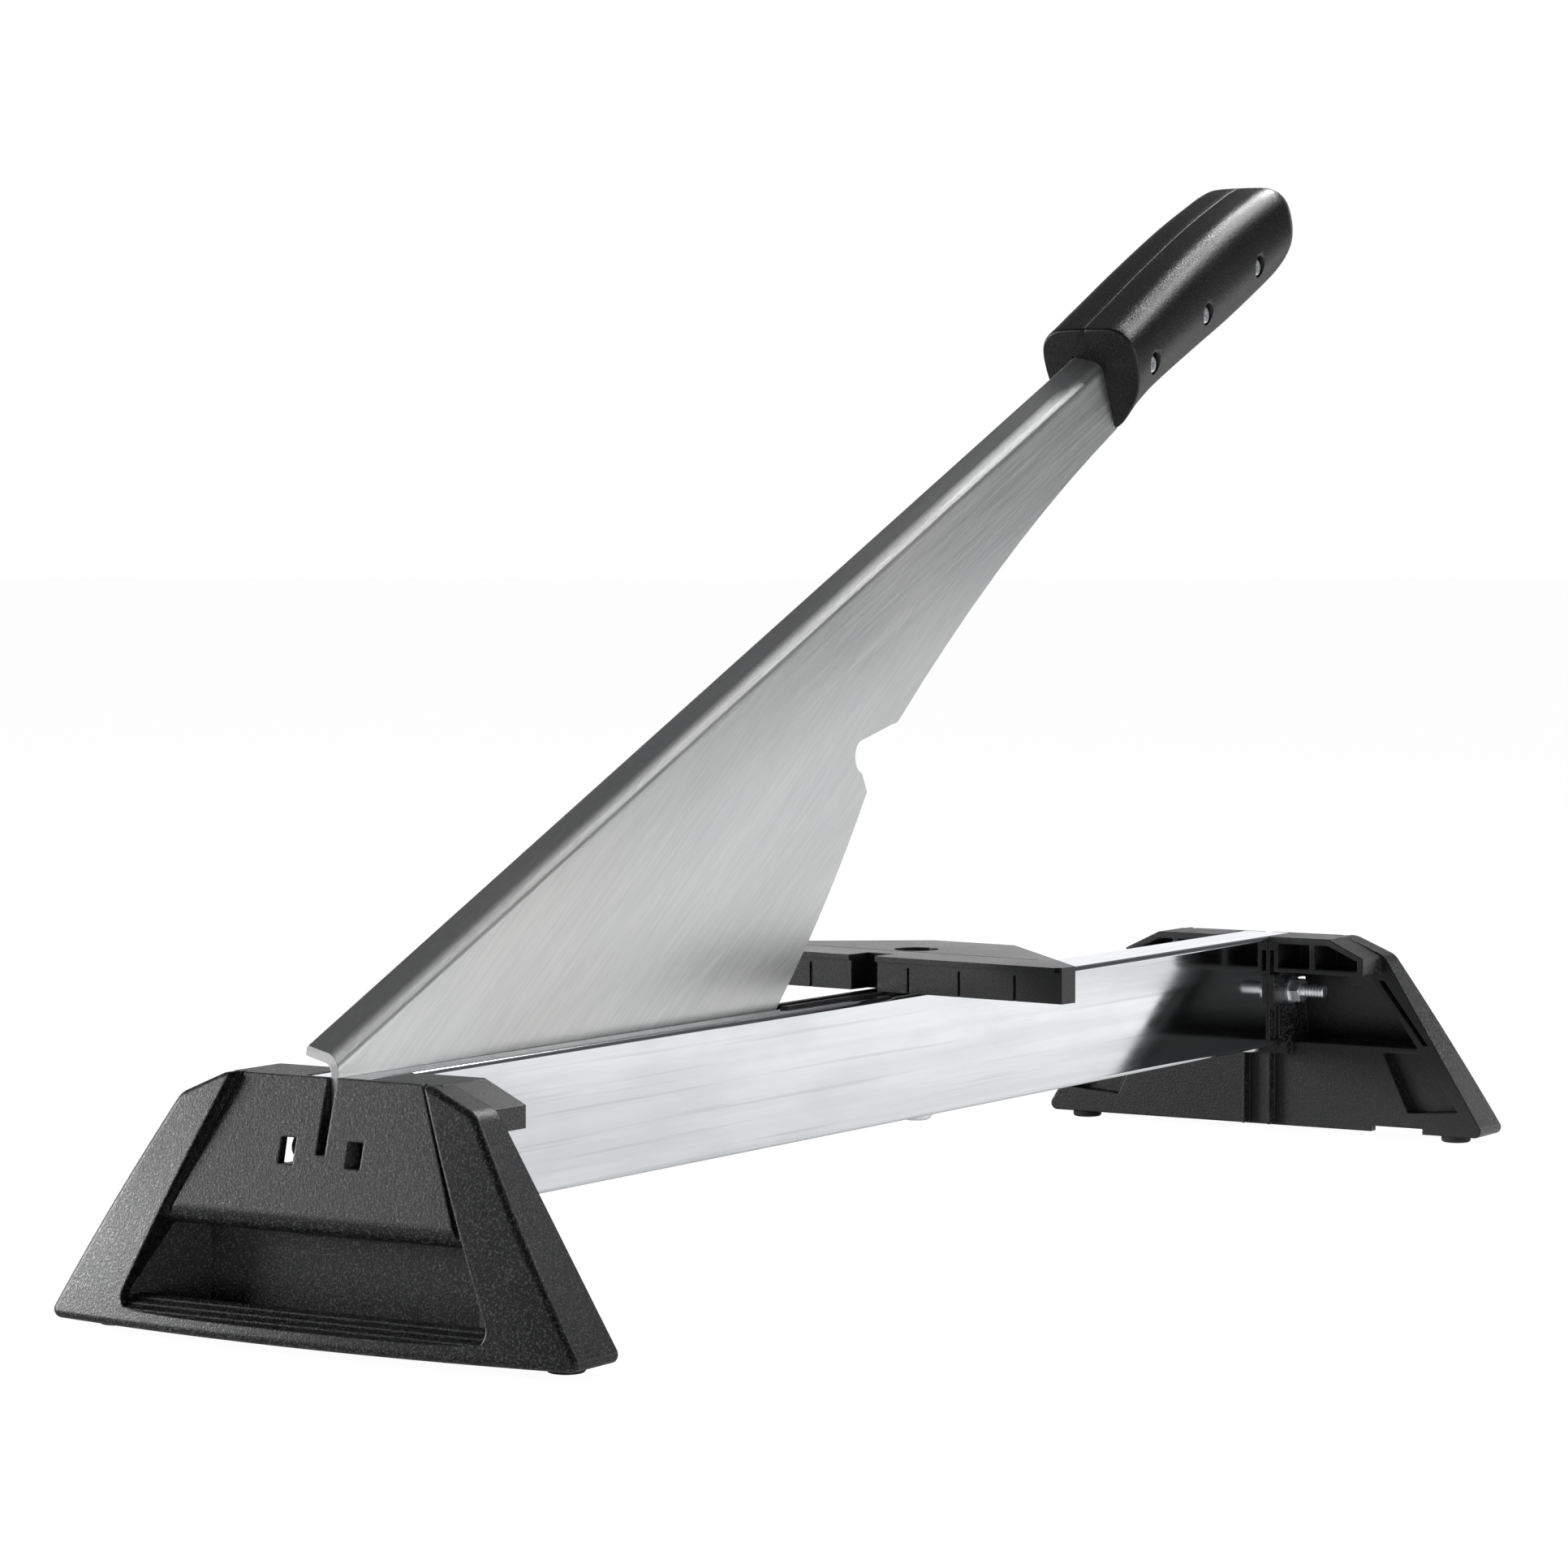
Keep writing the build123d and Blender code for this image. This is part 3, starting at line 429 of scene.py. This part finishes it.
def handle_half(name, side):
    """One shell, lofted along the arm and closed at the seam and at both ends."""
    rings = []
    for step in range(MOUTH_STEPS, -1, -1):
        turn = math.radians(90.0 * step / MOUTH_STEPS)
        rings.append((MOUTH + MOUTH_ROUND * (1 - math.sin(turn)), MOUTH_ROUND * (1 - math.cos(turn))))
    straight = (HANDLE_END - END_ROUND - MOUTH - MOUTH_ROUND) / STRAIGHT_STEPS
    rings += [(MOUTH + MOUTH_ROUND + step * straight, 0.0) for step in range(1, STRAIGHT_STEPS + 1)]
    for step in range(1, END_STEPS + 1):
        turn = math.radians(END_TURN * step / END_STEPS)
        rings.append((HANDLE_END - END_ROUND + END_ROUND * math.sin(turn), END_ROUND * (1 - math.cos(turn))))
    made = bmesh.new()
    rows = []
    for station, inset in rings:
        ring = half_ring(station, inset)
        rows.append([made.verts.new(on_arm(station, SEAM + side * point.x, point.y)) for point in ring])
    skin(made, rows)
    return new_object(name, made)


def swept(outline, shift):
    """A closed cutter: an outline of points in the frame, pushed along a shift."""
    made = bmesh.new()
    low = [made.verts.new(point) for point in outline]
    high = [made.verts.new(point + shift) for point in outline]
    skin(made, [low, high])
    return new_object("cutter", made)


def arc(middle, radius, degrees):
    """Points round a middle at the given angles."""
    return [middle + radius * Vector((math.cos(turn), math.sin(turn))) for turn in map(math.radians, degrees)]


def tang_cutters():
    """The arm's own section, a little larger, and the wedge of web below it at the mouth."""
    start, length = 585.0, 161.0
    half_web = 1.8
    web_foot = -23.2
    bend = Vector((4.4, -6.0))
    outer = arc(bend, 6.2, range(180, 102, -7))
    inner = arc(bend, 2.6, range(103, 181, 11))
    flange_edge = [Vector((11.8, 2.15)), Vector((12.5, -1.5))]
    loop = [Vector((-half_web, web_foot))] + outer + flange_edge + inner + [Vector((half_web, web_foot))]
    tang = swept([on_arm(start, point.x, point.y) for point in loop], ARM_AHEAD * length * MM)
    wedge = ((start, -37.0), (607.0, -23.0), (start, -20.0))
    web = swept([on_arm(station, -half_web, level) for station, level in wedge],
                Vector((0.0, 2 * half_web * MM, 0.0)))
    return [tang, web]


def recess_cutter(station):
    """A round screw recess in the right face, with a softened rim."""
    middle = on_arm(station, 0.0, SCREW_LEVEL)
    turns = [math.tau * step / RECESS_SIDES for step in range(RECESS_SIDES)]
    made = bmesh.new()
    rows = []
    for radius, across in RECESS:
        ring = [Vector((radius * math.cos(turn), across, radius * math.sin(turn))) for turn in turns]
        rows.append([made.verts.new(middle + point * MM) for point in ring])
    skin(made, rows)
    return new_object("cutter", made)


def carve(obj, cutters):
    """Cuts the cutters out of a piece for good and removes them."""
    for cutter in cutters:
        cut = obj.modifiers.new("cut", "BOOLEAN")
        cut.operation = "DIFFERENCE"
        cut.solver = "EXACT"
        cut.object = cutter
    bpy.context.view_layer.update()
    shaped = obj.evaluated_get(bpy.context.evaluated_depsgraph_get())
    mesh = bpy.data.meshes.new_from_object(shaped)
    obj.modifiers.clear()
    obj.data = mesh
    for cutter in cutters:
        bpy.data.objects.remove(cutter)
    mesh.shade_smooth()
    mesh.set_sharp_from_angle(angle=SHARP_EDGE)


right_half = handle_half("handle_right_form", side=-1)
carve(right_half, tang_cutters() + [recess_cutter(station) for station in SCREW_STATIONS])
stand_in(right_half, "handle_right_shell")
left_half = handle_half("handle_left_form", side=1)
carve(left_half, tang_cutters())
stand_in(left_half, "handle_left_shell")


# ---- stage, light and camera ----------------------------------------------

FLOOR_RADIUS = 30.0
FLOOR_GAP = 0.2 * MM


def grey(level, cool=1.0):
    """A grey with alpha, whose blue is level times cool."""
    return (level, level, level * cool, 1.0)


def aim(obj, direction):
    """Turns a light or camera to look along a direction."""
    obj.rotation_euler = direction.to_track_quat("-Z", "Y").to_euler()


def pale_floor():
    """White paper, evenly white to the camera. To everything else it glows though it is no lamp: a painted
    light that is stronger or weaker by X and Y.
    """
    finish = Finish("floor_paper", roughness=0.9)
    finish.tint(finish.noise(30.0, detail=3.0), grey(0.20)[:3], grey(0.21)[:3])
    finish.shader.inputs["Specular IOR Level"].default_value = 0.0
    finish.shader.inputs["Emission Color"].default_value = grey(1.0)
    paper_glow, least_glow = 0.96, 0.26
    seen = finish.add("ShaderNodeLightPath").outputs["Is Camera Ray"]
    x, y = finish.axis(finish.place, "X"), finish.axis(finish.place, "Y")
    # Painted light: to everything but the camera the floor glows at least 0.26. It glows more on the -Y side
    # from X -0.45 on, rising along X, dipping between X 1.0 and 1.12 and fading past X 1.5.
    glow_side = finish.combine("MULTIPLY", finish.spread(y, -0.05, 0.10, 1.0, 0.0),
                              finish.spread(x, -0.45, -0.15))
    along = finish.combine("MULTIPLY", finish.spread(x, 0.15, 0.75, 0.64, 0.86),
                           finish.spread(x, 1.5, 1.8, 1.0, 0.3))
    glow_dip = finish.combine("MAXIMUM", finish.spread(x, 0.85, 1.0, 1.0, 0.72),
                          finish.spread(x, 1.12, 1.35, 0.72, 1.1))
    along = finish.combine("MULTIPLY", along, glow_dip)
    painted_glow = finish.combine("MAXIMUM", finish.combine("MULTIPLY", glow_side, along), least_glow)
    shown = finish.combine("MAXIMUM", painted_glow, finish.spread(seen, 0.0, 1.0, 0.0, paper_glow))
    finish.link(shown, finish.shader.inputs["Emission Strength"])
    mesh = bpy.data.meshes.new("floor")
    made = bmesh.new()
    bmesh.ops.create_circle(made, cap_ends=True, segments=96, radius=FLOOR_RADIUS)
    made.to_mesh(mesh)
    made.free()
    mesh.materials.append(finish.material)
    floor = put("floor", mesh)
    floor.location.z = cad_box[0].z - FLOOR_GAP


def set_stops(ramp, stops):
    """Gives a colour ramp its stops; the first two are the ramp's own ends."""
    elements = ramp.color_ramp.elements
    for index, (position, colour) in enumerate(stops):
        stop = elements[index] if index < 2 else elements.new(position)
        stop.position = position
        stop.color = colour


def painted_reflection(name, place, facing, size, levels):
    """A board that glows though it is no lamp: a painted reflection that only shows in reflections.

    Levels are (share of its height, glow), and the first two are its foot and its top.
    """
    width, height = size
    finish = Finish(name, roughness=1.0)
    ramp = finish.add("ShaderNodeValToRGB")
    set_stops(ramp, [(position, grey(level, 1.01)) for position, level in levels])
    finish.link(finish.spread(finish.axis(finish.place, "Z"), 0.0, height), ramp.inputs["Fac"])
    finish.shader.inputs["Base Color"].default_value = grey(0.0)
    finish.shader.inputs["Specular IOR Level"].default_value = 0.0
    finish.shader.inputs["Emission Strength"].default_value = 1.0
    finish.link(ramp.outputs["Color"], finish.shader.inputs["Emission Color"])
    half = width / 2
    mesh = bpy.data.meshes.new(name)
    corners = [(-half, 0, 0), (half, 0, 0), (half, 0, height), (-half, 0, height)]
    mesh.from_pydata(corners, [], [(0, 1, 2, 3)])
    mesh.materials.append(finish.material)
    board = put(name, mesh)
    board.location = place
    board.rotation_euler.z = facing
    board.visible_camera = False
    board.visible_diffuse = False
    board.visible_shadow = False


def softbox(name, place, target, size, power, spread=180.0):
    """A rectangular light aimed at a target, unseen by the camera; spread is its beam in degrees."""
    light = bpy.data.lights.new(name, "AREA")
    light.shape = "RECTANGLE"
    light.spread = math.radians(spread)
    light.size, light.size_y = size
    light.energy = power
    obj = put(name, light)
    obj.visible_camera = False
    obj.location = place
    aim(obj, Vector(target) - Vector(place))


def sky():
    """Studio surroundings: bright near the ground, dim overhead and towards -X, white to the camera."""
    world = bpy.data.worlds.new("studio")
    bpy.context.scene.world = world
    world.use_nodes = True
    tree = world.node_tree
    tree.nodes.clear()
    add, link = tree.nodes.new, tree.links.new
    place = add("ShaderNodeTexCoord")
    split = add("ShaderNodeSeparateXYZ")
    link(place.outputs["Generated"], split.inputs["Vector"])
    ramp = add("ShaderNodeValToRGB")
    ramp.color_ramp.interpolation = "EASE"
    between = [(position, grey(level, 1.02))
               for position, level in ((0.15, 0.95), (0.22, 0.45), (0.32, 0.20), (0.5, 0.12))]
    set_stops(ramp, [(0.0, grey(1.0, 1.01)), (1.0, grey(0.10, 1.05))] + between)
    link(split.outputs["Z"], ramp.inputs["Fac"])
    around = add("ShaderNodeBackground")
    link(ramp.outputs["Color"], around.inputs["Color"])
    fade = add("ShaderNodeMapRange")
    for key, value in (("From Min", -0.6), ("From Max", 0.1), ("To Min", 0.35), ("To Max", 1.0)):
        fade.inputs[key].default_value = value
    link(split.outputs["X"], fade.inputs["Value"])
    link(fade.outputs["Result"], around.inputs["Strength"])
    behind = add("ShaderNodeBackground")
    behind.inputs["Color"].default_value = grey(1.0)
    path = add("ShaderNodeLightPath")
    mix = add("ShaderNodeMixShader")
    link(path.outputs["Is Camera Ray"], mix.inputs["Fac"])
    link(around.outputs["Background"], mix.inputs[1])
    link(behind.outputs["Background"], mix.inputs[2])
    link(mix.outputs["Shader"], add("ShaderNodeOutputWorld").inputs["Surface"])


def camera():
    """The viewpoint: yaw and pitch in radians, looking down and along the rail."""
    yaw, pitch = 0.554, 0.051
    lens = bpy.data.cameras.new("camera")
    lens.lens = 111.5
    lens.sensor_width = 36.0
    lens.clip_start = 0.01
    lens.clip_end = 100.0
    obj = put("camera", lens)
    obj.location = (-1.6380, -0.9715, 0.2696)
    aim(obj, Vector((math.cos(yaw) * math.cos(pitch), math.sin(yaw) * math.cos(pitch), -math.sin(pitch))))
    bpy.context.scene.camera = obj


pale_floor()
sky()
softbox("key_left", (-1.36, 2.14, 0.50), (-0.2, 0.0, 0.05), (0.9, 0.7), 43.0)
softbox("strip_top", (1.35, -0.45, 1.60), (0.25, 0.0, 0.3), (1.7, 0.30), 17.0)
softbox("crown_glow", (0.75, 0.06, 0.84), (0.31, 0.0, 0.40), (0.12, 0.30), 0.045, 28.0)
softbox("rim_right", (1.95, -0.42, 0.32), (0.37, -0.085, 0.04), (0.4, 0.3), 0.012, 14.0)
softbox("fill_right", (0.9, -2.2, 0.35), (0.1, 0.0, 0.05), (1.0, 0.5), 7.0)
# A painted reflection: a glowing board out at +X and -Y, brightest just above its foot, seen only in the
# object's reflections.
painted_reflection("painted_reflection_board", (1.75, -1.1, 0.0), math.radians(58.0), (2.6, 1.3),
          ((0.0, 0.85), (1.0, 0.06), (0.035, 1.0), (0.07, 1.15), (0.14, 0.66), (0.2, 0.24), (0.27, 0.12),
           (0.6, 0.08)))
camera()
bpy.context.scene.view_settings.view_transform = "Standard"
